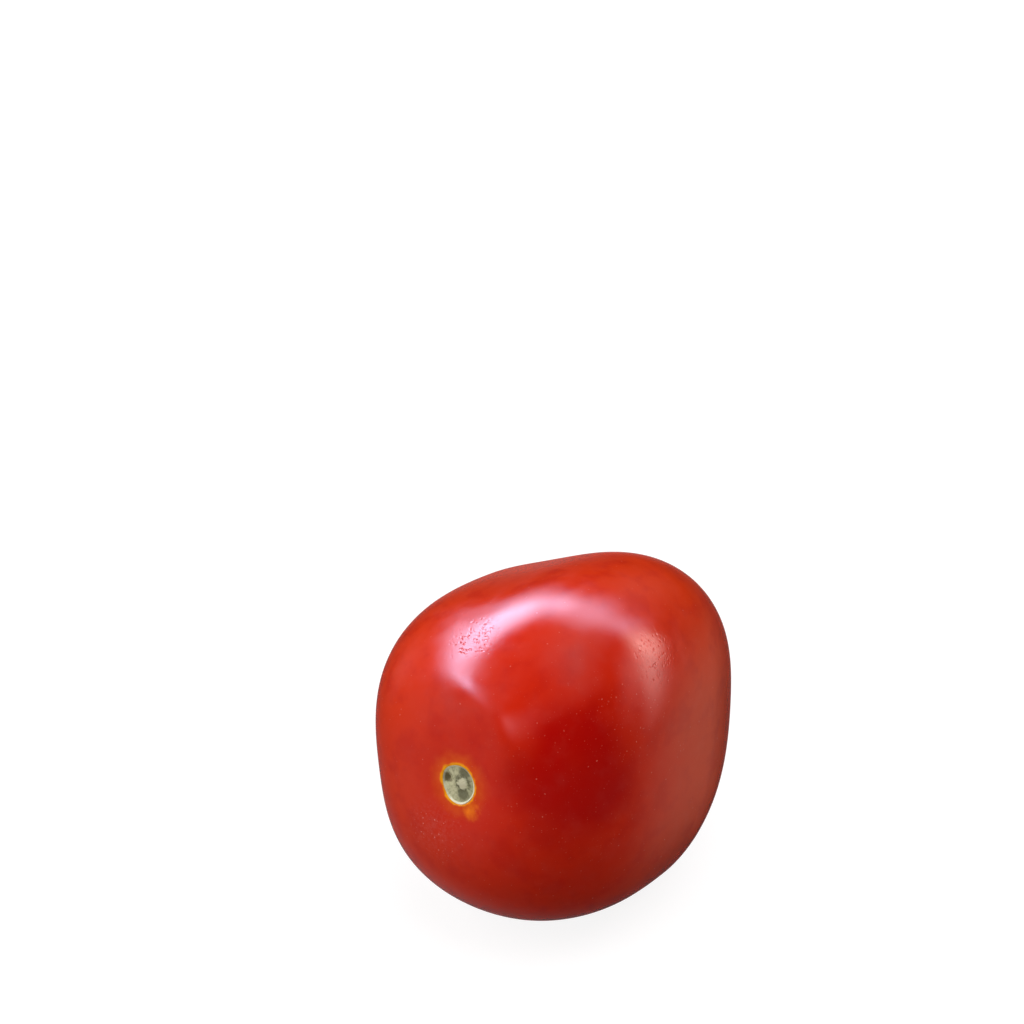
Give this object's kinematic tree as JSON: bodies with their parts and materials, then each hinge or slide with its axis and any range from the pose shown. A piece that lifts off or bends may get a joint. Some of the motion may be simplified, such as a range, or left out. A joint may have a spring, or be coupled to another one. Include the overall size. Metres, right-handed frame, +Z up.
{
  "type": "tomato",
  "caption": "Ripe red plum tomato lying on its side, a lumpy egg-shaped fruit with a corky stem scar, resting on a small flat spot.",
  "frame": {"origin": "on the table, under the middle of the fruit's box", "axes": "+Y along the fruit from its stem end to its blossom end, +Z up off the table, +X to the right seen from the stem end"},
  "size_m": [0.0508, 0.0714, 0.0582],
  "materials": {
    "tomato_skin": "smooth glossy red skin, corky grey-buff at the stem scar"
  },
  "bodies": {
    "root": {"tomato": "tomato_skin"}
  },
  "joints": []
}
